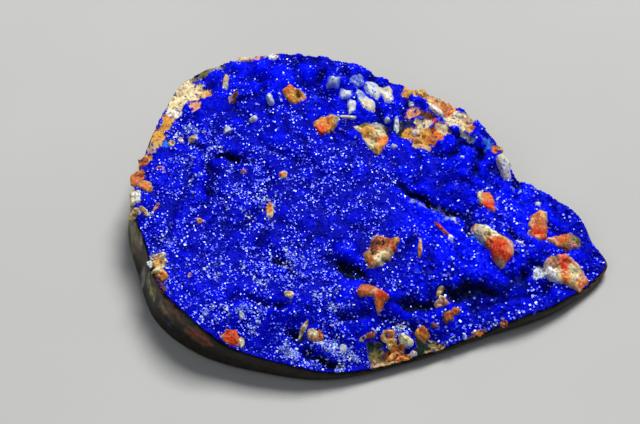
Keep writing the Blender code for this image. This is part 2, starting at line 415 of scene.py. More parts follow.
def host_rock_material():
    """Polished rock: the wall's patches, clouded by fine noise, with pale veinlets and dark specks."""
    n = Nodes("host_rock")
    colour = n.clouded("wall_colour", 1.6, 5.0, (0.35, (0.25, 0.24, 0.22)), (0.7, (1.4, 1.4, 1.3)))
    veins = n.ramp(n.noise(0.9, 2.0), (0.485, (0, 0, 0)), (0.5, (1, 1, 1)), (0.515, (0, 0, 0)))
    colour = n.mix(n.sum(0.0, veins, 0.25), colour, (0.07, 0.06, 0.04, 1))
    colour = n.specks(colour, n.noise(7.0, 1.0), 0.62, 0.68, 0.6, (0.012, 0.01, 0.01))
    n.bump(9.0, 2.0, 0.02, 0.4)
    return n.finish(colour, n.sum(0.22, n.noise(3.0), 0.3), 0.12)


rock_points, rock_faces, rim_of_wall = host_rock_mesh()
host_rock = new_mesh_object("host_rock", rock_points, rock_faces, host_rock_material(), True)
point_colours(host_rock, "wall_colour", wall_colours(rock_points, rim_of_wall))
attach(host_rock, ROOT)
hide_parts(STONE)

# ----------------------------------------
# Azurite crust. A velvet of tiny deep-blue crystals that grew over the rough top and stops ragged
# at the ground edge. Bare host rock shows through it along the rim.
CRUST_CELL = 0.092
CRUST_JITTER = 0.32
CRUST_THICKNESS = 0.10
CRUST_SUNK = 0.04
CRUST_OVERHANG = 0.06
CRUST_SHAKE = 0.012  # up or down, at each point
SKIRT_DEPTH = 0.45
SKIRT_SHARE = 0.965
LOWEST_SKIRT = 0.15
# Rock colours, from black stain to white quartz
ROCK = {
    "black": (0.012, 0.01, 0.009), "brown": (0.16, 0.055, 0.018), "rust": (0.36, 0.06, 0.015),
    "clay": (0.56, 0.14, 0.035), "red": (0.8, 0.05, 0.008), "orange": (0.76, 0.19, 0.025),
    "ochre": (0.72, 0.36, 0.06), "tan": (0.6, 0.4, 0.18), "peach": (0.82, 0.38, 0.2),
    "cream": (0.86, 0.72, 0.42), "white": (0.86, 0.86, 0.82), "olive": (0.17, 0.15, 0.045),
    "grey": (0.42, 0.44, 0.42), "pink": (0.7, 0.23, 0.26), "glaze": (0.03, 0.19, 0.82),
    "ice": (0.64, 0.72, 0.8), "moss": (0.014, 0.028, 0.022), "mist": (0.2, 0.27, 0.76),
}
# Bare rock in the crust: x, y, half-length, half-width, turn in degrees, colour
BARE_ROCK = (
    (-17.2, 6.3, 1.4, 0.8, 65, "cream"), (-16.3, 7.4, 1.1, 0.8, 40, "cream"),
    (-17.1, 8.2, 1, 0.5, 52, "cream"), (-15.4, 7.4, 0.7, 0.4, 20, "ochre"),
    (-15.8, 6, 0.5, 0.4, 0, "peach"), (-17.4, 5.2, 0.6, 0.5, 55, "white"),
    (-17.5, 4.3, 0.9, 0.6, 70, "ochre"), (-17.9, 3, 1, 0.6, 80, "ochre"),
    (-18.1, 1.9, 0.7, 0.45, 80, "tan"), (-15.9, 9.4, 1.1, 0.35, 48, "olive"),
    (-15.3, 10, 0.7, 0.3, 40, "grey"), (-13.8, 11.4, 1.2, 0.35, 20, "grey"),
    (-12.5, 11.8, 0.7, 0.4, 18, "peach"), (-11, 12.4, 0.5, 0.4, 0, "cream"),
    (0.3, 11.9, 0.7, 0.5, 0, "ochre"), (1.4, 11.7, 0.9, 0.5, -5, "tan"),
    (2.7, 11.6, 1.2, 0.6, -15, "tan"), (3.8, 11.2, 0.9, 0.5, -30, "peach"),
    (3.6, 10.9, 0.4, 0.3, 0, "orange"), (4.7, 10.3, 0.9, 0.7, -30, "cream"),
    (5.7, 10.4, 0.7, 0.5, -35, "tan"), (6, 9.8, 0.7, 0.25, -40, "ochre"),
    (5.6, 9.3, 1.2, 0.25, -38, "grey"), (1.3, 10, 0.6, 0.5, 0, "peach"),
    (2.2, 9.9, 0.9, 0.3, -30, "brown"), (2.9, 9.4, 0.5, 0.3, 0, "red"), (2.1, 9, 0.6, 0.5, 0, "cream"),
    (1.4, 8.1, 0.7, 0.5, 0, "ochre"), (2.2, 8.1, 0.8, 0.7, 0, "ochre"), (3.4, 8.3, 0.7, 0.6, 0, "orange"),
    (3.8, 9.2, 0.7, 0.5, 0, "cream"), (2.5, 7.4, 0.7, 0.4, 0, "tan"), (0.9, 9, 0.45, 0.35, 0, "moss"),
    (0.6, 8.1, 0.35, 0.4, 0, "moss"), (3.9, 2, 1.2, 0.2, -8, "mist"), (5.7, 1.8, 1.2, 0.26, -26, "mist"),
    (6.4, 1.5, 0.6, 0.18, -30, "ice"), (8.5, 0.45, 0.5, 0.25, -30, "glaze"),
    (-18.4, 0.4, 0.7, 0.5, 80, "ochre"), (-18.8, -1.2, 0.9, 0.6, 88, "orange"),
    (-18.6, -3.2, 0.9, 0.6, 88, "cream"), (-18.4, -4.5, 0.7, 0.45, 80, "tan"),
    (-18.1, -5.4, 0.5, 0.3, 70, "grey"), (-15.4, -8, 0.6, 0.5, 120, "grey"),
    (-15.3, -8.8, 0.5, 0.4, 125, "moss"), (-14.5, -9.6, 1.2, 0.36, 132, "brown"),
    (2.8, -9.9, 0.5, 0.4, 20, "moss"), (3.3, -10.4, 0.6, 0.4, 20, "olive"),
    (4, -10.7, 0.9, 0.4, 20, "tan"), (4.6, -10, 0.9, 0.5, 30, "brown"), (5.4, -10, 0.7, 0.4, 30, "ochre"),
    (6.5, -8.8, 0.8, 0.5, 25, "moss"), (7.4, -8.6, 0.9, 0.35, 25, "tan"),
    (10.5, -6.8, 0.8, 0.4, 30, "ochre"), (12.1, -5.9, 0.5, 0.3, 30, "brown"),
    (9.2, 0.1, 0.7, 0.35, -35, "glaze"), (14, -0.5, 0.5, 0.5, 60, "ice"), (7.6, 9, 0.4, 0.4, 0, "glaze"),
    (8.3, 8.7, 0.3, 0.25, 0, "orange"), (-17, 2.3, 0.7, 0.35, 30, "glaze"),
)
# Dusty pale places on the blue: x, y, half-length, half-width, turn, strength
DUSTY = np.array((
    (-7.2, -10.5, 1.4, 0.5, 15, 0.9), (-6.9, -11.4, 0.8, 0.3, 10, 0.9), (-10, -11.5, 0.9, 0.7, 30, 0.6),
    (-9, -7, 0.8, 0.3, 10, 1), (-10.2, -7.8, 1.6, 0.8, 20, 0.4), (-7.1, -7.3, 0.5, 0.4, -30, 0.9),
    (-5.4, -4.7, 0.35, 0.35, 0, 1.2), (-2.6, -12.5, 1.1, 0.6, 0, 1.6), (1.3, -11.5, 1.4, 0.7, 15, 2.2),
    (-0.4, -10.9, 1.2, 0.45, 12, 2.2), (-1, -8.4, 1, 1.3, 60, 0.8), (-8.9, -1.4, 1.6, 1.2, 0, 0.35),
    (-5.6, -6.4, 1.6, 0.9, 30, 0.4), (-13.6, 2.6, 1.4, 0.8, 0, 0.4), (-14.4, 0.4, 1.3, 0.35, -70, 0.7),
    (-11.2, 0.4, 0.8, 0.3, -50, 0.6), (9.5, -7.4, 2.6, 0.5, 32, 0.5), (3.8, -8.3, 0.9, 0.5, 20, 0.8),
    (-14.8, -6.8, 1, 1, 0, 0.4), (8.6, 1, 1, 0.4, -40, 0.5), (-16, 3.4, 1, 0.6, 20, 0.6),
))
# Green and black staining in hollows, with painted shade in the shadowed crevices and hollows
STAIN_AND_SHADE = np.array((
    (9.4, -3.7, 2.4, 0.9, 14, 0.45), (8.1, -4.3, 1.2, 0.6, 20, 0.6), (12.6, -2.3, 1.8, 0.7, 14, 0.6),
    (5.4, -6.1, 2, 0.6, 23, 0.6), (-0.4, -5.1, 1.4, 0.6, -10, 0.9), (-12.6, 0.8, 1.8, 0.3, -67, 0.3),
    (-12, 2.2, 1.1, 0.3, 15, 0.8), (4.4, 2.5, 2.6, 0.35, -13, 0.9), (-2.8, -11, 0.7, 0.4, 0, 1),
    (-0.3, -12, 1.3, 0.25, 15, 1.2), (0.6, 8.4, 1, 0.8, 0, 0.7), (4.6, -9.4, 2, 1, 25, 0.5),
))

# Painted highlight: brighter blue painted on the slope under the long crease and on the bulges at the
# back, where the light falls. The broad left is painted a little darker.
PAINTED_HIGHLIGHTS = np.array((
    (5, 0.4, 3, 1.1, -14, 1.8), (-11.3, 10.5, 3, 1.6, 20, 0.7), (-5, 9.5, 3, 1.5, 0, 0.5),
    (9, -1.5, 3.5, 1.2, -10, 1.4), (12, 4, 3.5, 2, -30, 1), (4, 6, 3, 1.5, -20, 0.3),
    (6.5, 0.7, 2, 0.8, -20, 0.8), (7.5, -6.6, 1.5, 0.6, 20, 0.8), (-7, -2, 9, 8, 0, -0.32),
))


def patches(x, y):
    """How far each patch of bare rock reaches, from 0 to 1, one after the other. Places are shaken by
    noise of two sizes first, so that the patches' edges are ragged."""
    shaken_x = x + layered(x, y, (0.30, 0.7, 41), (0.16, 0.25, 42))
    shaken_y = y + layered(x, y, (0.30, 0.7, 43), (0.16, 0.25, 44))
    for at_x, at_y, half_length, half_width, turn, _ in BARE_ROCK:
        along, across = along_across(shaken_x - at_x, shaken_y - at_y, turn)
        yield smooth_step(-((along / half_length) ** 2 + (across / half_width) ** 2), -1.25, -0.85)


def bareness(x, y):
    """The furthest reach of any patch of bare rock."""
    bare = np.zeros_like(x)
    for reach in patches(x, y):
        bare = np.maximum(bare, reach)
    return bare


def rock_colour(x, y):
    """The mean of the patches' colours, each weighed by its reach and by noise of its own, cubed, so
    that neighbours break up into grains of one colour or the other."""
    total = np.full((*x.shape, 1), 1e-6)
    colour = total * np.array(ROCK["tan"])
    for k, reach in enumerate(patches(x, y)):
        weight = (reach * (1 + 0.9 * net_noise(x, y, 0.4, 900 + k)))[..., None] ** 3
        total = total + weight
        colour = colour + weight * np.array(ROCK[BARE_ROCK[k][-1]])
    return colour / total


def crust_height(x, y):
    """The rough top with the crust on it: a thin raised skin where no rock is bare, grained by two
    fine layers of noise, the first folded into bumps. Bare rock is grained more coarsely."""
    bare = bareness(x, y)
    grain = 0.06 * np.abs(net_noise(x, y, 0.33, 51)) + 0.02 * net_noise(x, y, 0.17, 52)
    broken = layered(x, y, (0.10, 0.45, 53), (0.06, 0.22, 54))
    return top_height(x, y) + (CRUST_THICKNESS + grain) * (1 - bare) + broken * bare - CRUST_SUNK


def painted_light_and_stain(x, y, reach=0.7):
    """How dark or light the blue is painted at a place: 1.2 times its depth, which is the mean height of
    eight places round it less its own height, as painted shade in hollows, plus half its staining and
    painted crevice shade, less 0.3 as a painted highlight on lit slopes and bulges."""
    around = sum(top_height(x + reach * math.cos(k * math.pi / 4), y + reach * math.sin(k * math.pi / 4))
                 for k in range(8))
    depth = around / 8 - top_height(x, y)
    return 1.2 * depth + 0.5 * np.clip(bells(x, y, STAIN_AND_SHADE), 0, 1) - 0.3 * bells(x, y, PAINTED_HIGHLIGHTS)


def with_painted_light(n, colour):
    """Painted light: a colour brightened by painted highlight on crests and lit slopes, and dimmed almost
    to black by painted shade in creases and by staining.
    """
    light = n.ramp(
        n.sum(0.5, n.read("painted_light_and_stain")), (0.1, (1.9, 1.9, 1.8)), (0.45, (1, 1, 1)), (0.7, (0.4, 0.4, 0.45)),
        (1.0, (0.06, 0.06, 0.09)))
    return n.mix(1.0, colour, light, "MULTIPLY")


def rim_share(x, y):
    """Distance from the middle as a share of the wall's top edge in that direction."""
    direction = np.arctan2(y, x)
    rim = base_radius(direction) * drawn_in(direction, by_direction(direction, RIM_HEIGHTS))
    return np.hypot(x, y) / (rim + CRUST_OVERHANG)


def crust_mesh():
    """A square net over the slab, its points shaken sideways, kept where it lies within the rim and
    cut into triangles. A skirt under its edge runs down and in to a buried point, which closes it."""
    rng = np.random.default_rng(7)
    x, y = np.meshgrid(np.arange(-19.5, 19.5, CRUST_CELL), np.arange(-14.0, 14.0, CRUST_CELL))
    x = x + rng.uniform(-CRUST_JITTER, CRUST_JITTER, x.shape) * CRUST_CELL
    y = y + rng.uniform(-CRUST_JITTER, CRUST_JITTER, y.shape) * CRUST_CELL
    inside = rim_share(x, y) < 1.0
    index = np.full(x.shape, -1)
    index[inside] = np.arange(inside.sum())
    x, y = x[inside], y[inside]
    z = crust_height(x, y) + rng.uniform(-1, 1, x.shape) * CRUST_SHAKE
    a, b, c, d = index[:-1, :-1], index[:-1, 1:], index[1:, 1:], index[1:, :-1]
    whole = np.minimum(np.minimum(a, b), np.minimum(c, d)) >= 0
    a, b, c, d = a[whole], b[whole], c[whole], d[whole]
    swap = rng.uniform(size=len(a)) < 0.5
    first = np.where(swap[:, None], np.stack((a, b, c), -1), np.stack((a, b, d), -1))
    second = np.where(swap[:, None], np.stack((a, c, d), -1), np.stack((b, c, d), -1))
    top = np.concatenate((first, second))
    used, top = np.unique(top, return_inverse=True)
    points = np.stack((x, y, z), -1)[used]
    top = top.reshape(-1, 3)
    start, end = top.ravel(), np.roll(top, -1, 1).ravel()
    count = len(points)
    lone = ~np.isin(start * count + end, end * count + start)
    start, end = start[lone], end[lone]
    rim_points = np.unique(start)
    low = points[rim_points] * (SKIRT_SHARE, SKIRT_SHARE, 1) - (0, 0, SKIRT_DEPTH)
    low[:, 2] = np.maximum(low[:, 2], LOWEST_SKIRT)
    below = np.zeros(count, int)
    below[rim_points] = count + np.arange(len(rim_points))
    skirt = np.stack((start, below[start], below[end], end), -1)
    middle = count + len(rim_points)
    floor = np.stack((below[end], below[start], np.full(len(start), middle)), -1)
    points = np.concatenate((points, low, [(0.0, 0.0, 0.8)]))
    return points, top, skirt, floor


def crust_material():
    """Azurite: deep blue that brightens and darkens in drifts, with painted highlight on crests and lit
    slopes and painted shade in creases, dusted pale in places and stained and painted with shade in the
    hollows, and bare rock in its own colours, clouded and with specks of blue."""
    n = Nodes("azurite_crust")
    drift = n.sum(n.noise(0.33, 4.0), n.noise(2.2), 0.5)
    blue = with_painted_light(n, n.ramp(
        drift, (0.45, (0, 0.001, 0.38)), (0.7, (0, 0.002, 0.58)), (0.95, (0.001, 0.005, 0.85))))
    # Near-black specks where stained, partly real staining and partly painted shade in crevices
    stain_and_shade = n.sum(n.read("stain_and_shade"), n.noise(1.5), 0.6)
    blue = n.specks(blue, stain_and_shade, 0.65, 1.0, 1.0, (0.003, 0.008, 0.03))
    dust = n.sum(n.read("dust"), n.noise(4.0, 4.0), 2.0)
    blue = n.specks(blue, dust, 1.0, 1.0, 0.7, (0.2, 0.34, 0.82))
    rock = n.clouded(
        "rock", 4.0, 5.0, (0.35, (0.35, 0.26, 0.2)), (0.5, (1, 1, 1)), (0.7, (1.2, 1.25, 1.3)))
    rock = n.specks(rock, n.noise(2.6), 0.6, 0.63, 0.9, (0.01, 0.01, 0.36))
    bare = n.read("bare")
    n.bump(8.0, 3.0, 0.04, 0.5)
    return n.finish(n.mix(bare, blue, rock), n.sum(0.55, bare, 0.25), 0.04)


crust_points, crust_top, crust_skirt, crust_floor = crust_mesh()
crust = new_mesh_object(
    "azurite_crust", crust_points, (crust_top, crust_skirt, crust_floor), crust_material(), True)
crust_x, crust_y = crust_points[:, 0], crust_points[:, 1]
point_colours(crust, "rock", rock_colour(crust_x, crust_y))
point_values(crust, "bare", bareness(crust_x, crust_y))
# The blue's painted light and shade, with its staining
point_values(crust, "painted_light_and_stain", painted_light_and_stain(crust_x, crust_y))
point_values(crust, "dust", bells(crust_x, crust_y, DUSTY))
# Staining, with painted shade in the shadowed crevices
point_values(crust, "stain_and_shade", bells(crust_x, crust_y, STAIN_AND_SHADE))
corner_order = np.concatenate([f.ravel() for f in (crust_top, crust_skirt, crust_floor)])
# On the map the crust lies as seen from above, and its buried floor is small, in a corner of it
flat_places = crust_points[corner_order, :2] / 39.0 + (0.5, 0.36)
flat_places[-crust_floor.size:] = crust_points[crust_floor.ravel(), :2] / 400.0 + (0.5, 0.9)
lay_out(crust, flat_places)
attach(crust, ROOT)
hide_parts(STONE)

# ----------------------------------------
# Druse crystals. Chisel-ended azurite crystals a fifth of a millimetre long, grown out of the
# crust at every angle. Their flat faces catch the light as pin-point glints.
DRUSE_STOPS = 0.992  # share of the way to the rim
TENT = np.array((
    (-0.5, -0.5, -0.5), (0.5, -0.5, -0.5), (0.5, 0.5, -0.5), (-0.5, 0.5, -0.5),
    (-0.28, 0.0, 0.55), (0.30, 0.0, 0.5),
))
TENT_FACES = np.array((
    (0, 3, 2), (0, 2, 1), (0, 1, 5), (0, 5, 4), (2, 3, 4), (2, 4, 5), (1, 2, 5), (3, 0, 4)))


def scattered(rng, count, keep, tries):
    """Random places within the rim, thinned by keep, a chance for each place from 0 to 1."""
    x, y = rng.uniform(-19, 19, count * tries), rng.uniform(-13.6, 13.6, count * tries)
    wanted = (rim_share(x, y) < DRUSE_STOPS) & (rng.uniform(size=len(x)) < keep(x, y))
    return x[wanted][:count], y[wanted][:count]


def unit(rows):
    """Each row divided by its own length."""
    return rows / np.linalg.norm(rows, axis=1)[:, None]


def turned(rng, x, y, spread, follow):
    """A turn for each crystal: its long axis is straight up, tipped to the crust's own upright as far
    as follow says and at random by about spread, and it is spun at random round that axis. Returns
    three unit axes each."""
    step = 0.08
    slope_x = (crust_height(x + step, y) - crust_height(x - step, y)) / (2 * step)
    slope_y = (crust_height(x, y + step) - crust_height(x, y - step)) / (2 * step)
    up = unit(np.stack((-follow * slope_x, -follow * slope_y, np.ones_like(x)), -1))
    up = unit(up + rng.normal(0, spread, (len(x), 3)))
    side = unit(np.cross(up, rng.normal(size=(len(x), 3))))
    return side, np.cross(up, side), up


def grown(x, y, z, axes, sizes, shape, faces):
    """Copies of a shape, each stretched by its three sizes along its own axes and set at its place."""
    side, across, up = (a[:, None, :] for a in axes)
    s = shape[None] * sizes[:, None, :]
    points = s[..., :1] * side + s[..., 1:2] * across + s[..., 2:] * up
    points = points + np.stack((x, y, z), -1)[:, None, :]
    offset = (np.arange(len(x)) * len(shape))[:, None, None]
    return points.reshape(-1, 3), (faces[None] + offset).reshape(-1, 3)


def cell_layout(count, corners_each, pattern):
    """A small square of the map for each copy, on a square board, its corners laid by the pattern."""
    across = math.ceil(math.sqrt(count))
    number = np.arange(count)
    cell = np.stack((number % across, number // across), -1)[:, None, :]
    spread = np.tile(pattern, (corners_each // len(pattern), 1))[None]
    return ((cell + 0.2 + 0.6 * spread) / across).reshape(-1, 2)


TRIANGLE = np.array(((0.0, 0.0), (1.0, 0.1), (0.4, 1.0)))


def crystal_piece(name, seed, count, length, material, spread, keep, lift, shape=TENT,
                  shape_faces=TENT_FACES, follow=1.0, tries=4):
    """One joined mesh of crystals. Each is as long as the given length times exp of a random spread
    of a quarter, and up to two fifths longer towards the pointed end."""
    rng = np.random.default_rng(seed)
    x, y = scattered(rng, count, keep, tries)
    size = length * np.exp(rng.normal(0, 0.25, len(x))) * (1 + 0.4 * smooth_step(x, 0, 7))
    width, depth = rng.uniform(0.55, 0.95, (2, len(x)))
    sizes = np.stack((size * width, size * depth, size), -1)
    height = crust_height(x, y) + lift * size
    points, faces = grown(x, y, height, turned(rng, x, y, spread, follow), sizes, shape, shape_faces)
    piece = new_mesh_object(name, points, (faces,), material, False)
    point_values(piece, "shade", np.repeat(rng.uniform(0, 1, len(x)), len(shape)))
    # Each crystal takes the crust's painted light and shade at its place
    point_values(piece, "painted_light_and_stain", np.repeat(painted_light_and_stain(x, y), len(shape)))
    lay_out(piece, cell_layout(len(x), shape_faces.size, TRIANGLE))
    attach(piece, ROOT)
    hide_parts(STONE)


def blue_crystal_material():
    """Glassy deep blue, a little lighter or darker from crystal to crystal, with the crust's painted
    highlight on crests and painted shade in creases.
    """
    n = Nodes("azurite_crystal")
    shade = n.sum(n.read("shade"), n.noise(0.4), 0.6)
    colour = n.ramp(
        shade, (0.2, (0, 0.001, 0.4)), (0.8, (0, 0.003, 0.6)), (1.0, (0.002, 0.01, 0.8)),
        (1.0, (0.02, 0.05, 0.9)))
    return n.finish(with_painted_light(n, colour), n.sum(0.2, n.read("shade"), 0.12), 0.15)


def on_crust(x, y):
    """All over the blue, and none on bare rock."""
    return 1 - bareness(x, y)


blue_crystal = blue_crystal_material()
crystal_piece("fine_crystals", 11, 16000, 0.13, blue_crystal, spread=0.35, keep=on_crust, lift=-0.1)
crystal_piece("bold_crystals", 12, 2500, 0.20, blue_crystal, spread=0.6, keep=on_crust, lift=0.0)

# ----------------------------------------
# Bright grains. Clear crystals caught among the blue ones. Their faces mirror the lamp as hard
# white points, and grains of pale dust lie in clumps between them.
# A stubby crystal with a flat end
STUB = np.array((
    (-0.5, -0.5, -0.5), (0.5, -0.5, -0.5), (0.5, 0.5, -0.5), (-0.5, 0.5, -0.5),
    (-0.42, -0.38, 0.4), (0.40, -0.42, 0.4), (0.42, 0.38, 0.4), (-0.38, 0.42, 0.4),
))
STUB_FACES = np.array((
    (0, 3, 2), (0, 2, 1), (4, 5, 6), (4, 6, 7), (0, 1, 5), (0, 5, 4), (1, 2, 6), (1, 6, 5), (2, 3, 7),
    (2, 7, 6), (3, 0, 4), (3, 4, 7)))


def glint_material():
    """Mirror-bright crystal faces, violet-blue to blue-white from grain to grain."""
    n = Nodes("glint_crystal")
    shade = n.read("shade")
    colour = n.ramp(shade, (0.0, (0.02, 0.03, 0.75)), (0.5, (0.07, 0.09, 0.92)), (1.0, (0.18, 0.22, 1)))
    n.shader.inputs["Metallic"].default_value = 1.0
    n.shader.inputs["Specular Tint"].default_value = (0.15, 0.20, 1.0, 1.0)
    return n.finish(colour, n.sum(0.3, shade, 0.1), 0.5)


def dust_material():
    """Chalky blue-white, from dim blue to white from grain to grain."""
    n = Nodes("dust_grain")
    colour = n.ramp(
        n.read("shade"), (0.0, (0.05, 0.09, 0.72)), (0.4, (0.22, 0.32, 0.88)), (0.75, (0.6, 0.72, 0.95)),
        (1.0, (0.95, 0.98, 1)))
    return n.finish(colour, n.sum(0.3, n.noise(6.0), 0.2), 0.5)


def glint_chance(x, y):
    """Most low down on the left, a third as many on the right and at the top, few in hollows. Three
    layers of noise gather them in drifts."""
    drift = 0.5 + layered(x, y, (0.5, 1.1, 61), (0.3, 0.5, 62), (0.4, 0.28, 64))
    side = 1.0 - 0.62 * smooth_step(x, 0.0, 4.0) - 0.66 * smooth_step(y, 3.5, 8.0)
    side = side + 0.25 * smooth_step(-y, 3.0, 8.0) * smooth_step(-x, -3.0, 2.0)
    dust = np.clip(bells(x, y, DUSTY), 0, 1)
    dim = 1 - 0.7 * smooth_step(painted_light_and_stain(x, y), 0.1, 0.5)
    return np.clip(drift * np.maximum(side, 0.20) + 0.3 * dust, 0, 1) * dim * on_crust(x, y)


def dust_chance(x, y):
    """The strength of the dust, times a quarter plus noise that gathers it in clumps."""
    return np.clip(bells(x, y, DUSTY) * (0.25 + net_noise(x, y, 0.6, 63)), 0, 1) * on_crust(x, y)


crystal_piece("glint_crystals", 13, 10000, 0.13, glint_material(), spread=0.16, keep=glint_chance,
              lift=0.3, shape=STUB, shape_faces=STUB_FACES, follow=0.3)
crystal_piece("dust_grains", 14, 6000, 0.15, dust_material(), spread=0.7, keep=dust_chance, lift=0.35,
              tries=25)

# ----------------------------------------
# Rock chips. Broken pieces of rust, orange and cream rock that the crust grew round and holds,
# each standing a little proud of the blue.

# Chips with a shape of their own: place, height, flatness of the top, roughness, outline, and
# spots of colour (colour, place, reach)
SHAPED_CHIPS = (
    ((1.8, -2.8), 0.55, 7, 0.26,
     ((-1.2, 0.9), (-0.9, 1.3), (-0.2, 1.3), (0.1, 1.1), (0.9, 1.5), (1.1, 1.2), (1, 0.2), (0.7, -0.7),
      (0.3, -1.2), (-0.1, -1.4), (-0.5, -1.9), (-1.2, -1.5), (-1.4, -0.7), (-1.1, 0.1)),
     (("cream", -0.9, 1.1, 0.22), ("rust", -0.4, 0.7, 0.4), ("clay", 0.3, 0.7, 0.4),
      ("ochre", 0.9, 1.2, 0.3), ("cream", -0.2, 1.2, 0.2), ("rust", 0.7, 0.4, 0.35),
      ("brown", -0.6, 0.2, 0.3), ("rust", -0.9, -0.3, 0.35), ("clay", -0.2, -0.1, 0.3),
      ("cream", 0.1, -0.5, 0.28), ("tan", 0.5, -0.3, 0.3), ("black", 0.2, -0.8, 0.16),
      ("cream", -0.2, -0.9, 0.22), ("black", 0.5, -0.7, 0.14), ("ochre", -1.1, -0.9, 0.3),
      ("clay", -0.7, -1.2, 0.3), ("tan", -0.5, -1.7, 0.25), ("brown", -1.1, -1.3, 0.2))),
    ((2.5, -6.6), 0.35, 7, 0.08,
     ((-2, -0.2), (-1.2, 0.9), (-0.5, 0.6), (0.3, 0.5), (0.8, 0.1), (0.5, -0.5), (0.1, -1.15),
      (-0.2, -0.6), (-0.6, -0.3), (-1.5, -0.6)),
     (("clay", -1.4, 0, 0.6), ("clay", -0.9, 0.4, 0.4), ("peach", -0.4, 0.2, 0.2), ("red", 0.1, 0, 0.35),
      ("orange", 0.1, -0.5, 0.3), ("peach", 0, -1.1, 0.25), ("brown", 0.5, -0.3, 0.25))),
    ((8.7, 3.8), 0.45, 8, 0.05,
     ((-0.9, 0.2), (-0.8, 0.8), (-0.4, 0.6), (0, 1), (0.4, 0.6), (0.6, -0.2), (0.9, -0.9),
      (0.2, -0.9), (-0.5, -0.5)),
     (("cream", -0.7, 0.2, 0.3), ("tan", -0.5, -0.4, 0.25), ("orange", 0, 0.3, 0.4),
      ("red", 0.2, -0.6, 0.45), ("peach", 0.8, -0.9, 0.2))),
    ((9.9, 0.3), 0.5, 6, 0.22,
     ((-2.1, 1.1), (-1.7, 1.4), (-0.3, 1.1), (1.1, 0.7), (1.7, 0.3), (1.9, -0.8), (1.2, -1.8),
      (0.4, -1.4), (-0.6, -0.2), (-1.7, 0.5)),
     (("peach", -1.8, 1, 0.4), ("cream", -1, 0.7, 0.5), ("cream", -0.1, 0.7, 0.45),
      ("orange", -0.2, -0.1, 0.3), ("red", 0.6, -0.5, 0.7), ("red", 1.1, -0.9, 0.5),
      ("ochre", 0.9, 0.4, 0.35), ("peach", 1.6, -0.2, 0.4), ("tan", 1.1, -1.6, 0.35))),
    ((13.1, 3), 0.45, 10, 0.04,
     ((-0.9, 0.7), (-0.2, 1.7), (0.4, 1.5), (0.7, 0.1), (0.9, -1), (0.3, -1.5), (-0.4, -1.2),
      (-0.8, -0.3)),
     (("clay", 0.1, 0.2, 0.6), ("peach", -0.7, 0, 0.35), ("ochre", -0.2, 1.4, 0.35),
      ("tan", 0.4, 1.1, 0.3), ("red", 0.1, -0.8, 0.35), ("peach", 0.2, -1.3, 0.2))),
    ((15.4, 2.4), 0.5, 8, 0.08,
     ((-1.6, -0.5), (-0.5, 0.8), (0.2, 1.2), (1.2, 0.9), (1.1, -0.1), (0.4, -0.9), (-0.5, -0.7)),
     (("peach", -0.9, -0.3, 0.3), ("orange", -0.3, 0.1, 0.4), ("clay", 0, 0.5, 0.3),
      ("brown", 0.2, -0.4, 0.35), ("olive", 0.6, 0.4, 0.35), ("pink", 0.7, 0, 0.2))),
    ((15.8, 0), 0.45, 6, 0.26,
     ((-1.6, 0.4), (-1.2, 0.9), (-0.1, 1.4), (0.8, 1.1), (1.6, 0.7), (2.1, 0.1), (1.5, -1),
      (0.7, -0.9), (-0.5, -0.8), (-1.6, -0.7)),
     (("peach", -1, 0.5, 0.45), ("red", -0.1, 0.5, 0.4), ("peach", 0.5, 1, 0.35), ("tan", 1.1, 0.9, 0.3),
      ("white", -0.9, -0.4, 0.4), ("cream", -0.3, -0.3, 0.3), ("orange", 0.2, -0.3, 0.3),
      ("cream", 0.9, 0.3, 0.45), ("peach", 1.5, 0.3, 0.3), ("clay", 1.7, -0.3, 0.35),
      ("tan", 1, -0.7, 0.25))),
    ((-5.2, 7), 0.35, 7, 0.1,
     ((-1.1, 0.1), (-0.7, 0.7), (0.1, 0.9), (0.9, 0.8), (0.9, 0.2), (0.4, -0.7), (-0.3, -1),
      (-0.8, -0.5)),
     (("ochre", -0.6, 0.4, 0.35), ("tan", 0.1, 0.8, 0.25), ("orange", 0, 0, 0.45),
      ("red", -0.3, -0.5, 0.3), ("cream", 0.8, 0.7, 0.25), ("ochre", 0.6, -0.1, 0.3))),
    ((-1.3, 7.1), 0.35, 6, 0.16,
     ((-1.9, 0.4), (-0.9, 1), (0.2, 1.6), (0.9, 1.1), (1.2, -0.2), (0.9, -1), (0.8, -1.7),
      (0, -1.3), (-1, -0.2)),
     (("cream", -1.6, 0.4, 0.3), ("olive", -1, 0.8, 0.3), ("ochre", -0.6, 0.3, 0.4),
      ("grey", 0, 1.2, 0.35), ("cream", 0.4, 0.4, 0.3), ("black", 0.9, 0.8, 0.25),
      ("brown", 0.2, -0.4, 0.25), ("orange", 0.9, -0.2, 0.35), ("cream", 0, -0.9, 0.4),
      ("ochre", 0.6, -1.3, 0.4))),
)
